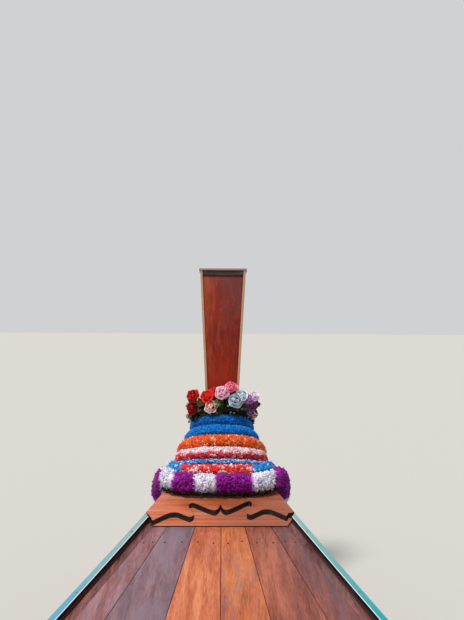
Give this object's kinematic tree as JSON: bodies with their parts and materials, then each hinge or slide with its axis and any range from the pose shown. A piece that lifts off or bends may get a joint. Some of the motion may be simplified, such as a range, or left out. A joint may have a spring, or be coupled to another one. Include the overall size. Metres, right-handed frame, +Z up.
{
  "type": "longtail boat",
  "caption": "Planked wooden longtail boat with a varnished foredeck, an upright prow board hung with garlands, a canopied passenger well and a tilting engine with a long propeller shaft.",
  "frame": {"origin": "at the waterline on the hull's centre plane, 4.7 m ahead of the transom's inner face, near amidships", "axes": "+Y forward to the bow, +X to starboard, +Z up; z = 0 is the water the empty boat floats in"},
  "size_m": [2.1896, 13.1098, 2.6903],
  "materials": {
    "bottom_paint": "matte",
    "topsides_paint": "satin",
    "prow_varnish": "satin",
    "rail_turquoise": "satin",
    "rail_pale_blue": "satin",
    "rub_varnish": "satin",
    "dark_wood": "matte",
    "deck_grey_varnish": "satin",
    "deck_orange_varnish": "satin",
    "board_varnish": "satin",
    "cream_paint": "satin",
    "garland_purple": "matte",
    "garland_red_white": "matte",
    "garland_light_blue": "matte",
    "garland_pink": "matte",
    "garland_orange": "matte",
    "garland_blue": "matte",
    "garland_dark_blue": "matte",
    "flowers": "matte",
    "seat_paint": "satin",
    "floor_wood": "matte",
    "inside_paint": "satin",
    "canvas": "matte",
    "black_steel": "satin",
    "rusty_steel": "matte",
    "engine_paint": "satin",
    "filter_plastic": "matte",
    "bronze": "satin"
  },
  "bodies": {
    "hull": {"keel": "bottom_paint", "stem": "prow_varnish", "strake_garboard_starboard": "bottom_paint", "strake_garboard_port": "bottom_paint", "strake_bilge_starboard": "bottom_paint", "strake_bilge_port": "bottom_paint", "strake_side_aft_starboard": "topsides_paint", "strake_side_aft_port": "topsides_paint", "strake_side_fore_starboard": "topsides_paint", "strake_side_fore_port": "topsides_paint", "strake_sheer_starboard": "topsides_paint", "strake_sheer_port": "topsides_paint", "transom": "topsides_paint", "gunwale_starboard": "rail_turquoise", "gunwale_port": "rail_pale_blue", "rub_rail_starboard": "rub_varnish", "rub_rail_port": "rub_varnish", "waterway_starboard": "dark_wood", "waterway_port": "dark_wood", "deck_plank_1": "deck_grey_varnish", "deck_plank_2": "deck_grey_varnish", "deck_plank_3": "deck_orange_varnish", "deck_plank_4": "deck_orange_varnish", "deck_plank_5": "deck_grey_varnish", "deck_plank_6": "deck_grey_varnish", "cover_board": "board_varnish", "foredeck_frame": "dark_wood", "foredeck_fascia": "board_varnish", "prow_board": "prow_varnish", "prow_trim": "cream_paint", "garland_base": "garland_purple", "garland_red_white": "garland_red_white", "garland_light_blue": "garland_light_blue", "garland_pink": "garland_pink", "garland_orange": "garland_orange", "garland_blue": "garland_blue", "garland_dark_blue": "garland_dark_blue", "flower_wreath": "flowers", "ribs_starboard": "seat_paint", "ribs_port": "seat_paint", "floorboards": "floor_wood", "thwart_1": "seat_paint", "thwart_2": "seat_paint", "thwart_3": "seat_paint", "thwart_4": "seat_paint", "stern_deck": "deck_grey_varnish", "canopy_side_starboard": "inside_paint", "canopy_side_port": "inside_paint", "canopy_bows": "seat_paint", "canopy_sheet": "canvas", "engine_post": "black_steel"},
    "swivel": {"engine_swivel": "black_steel"},
    "engine": {"engine_cradle": "rusty_steel", "engine_block": "engine_paint", "engine_head": "engine_paint", "exhaust": "rusty_steel", "air_filter": "filter_plastic", "shaft_tube": "black_steel", "tiller": "black_steel"},
    "propeller": {"propeller": "bronze"}
  },
  "joints": [
    {"name": "engine_swivel_turn", "type": "hinge", "parent": "hull", "child": "swivel", "pos_m": [0, -4.45, 0.79], "axis": [0, 0, 1], "range_deg": [-60, 60]},
    {"name": "engine_tilt", "type": "hinge", "parent": "swivel", "child": "engine", "pos_m": [0, -4.45, 1.05], "axis": [1, 0, 0], "range_deg": [-8, 22]},
    {"name": "propeller_spin", "type": "hinge", "parent": "engine", "child": "propeller", "pos_m": [0, -8.392, 1.05], "axis": [0, 1, 0], "continuous": true}
  ]
}
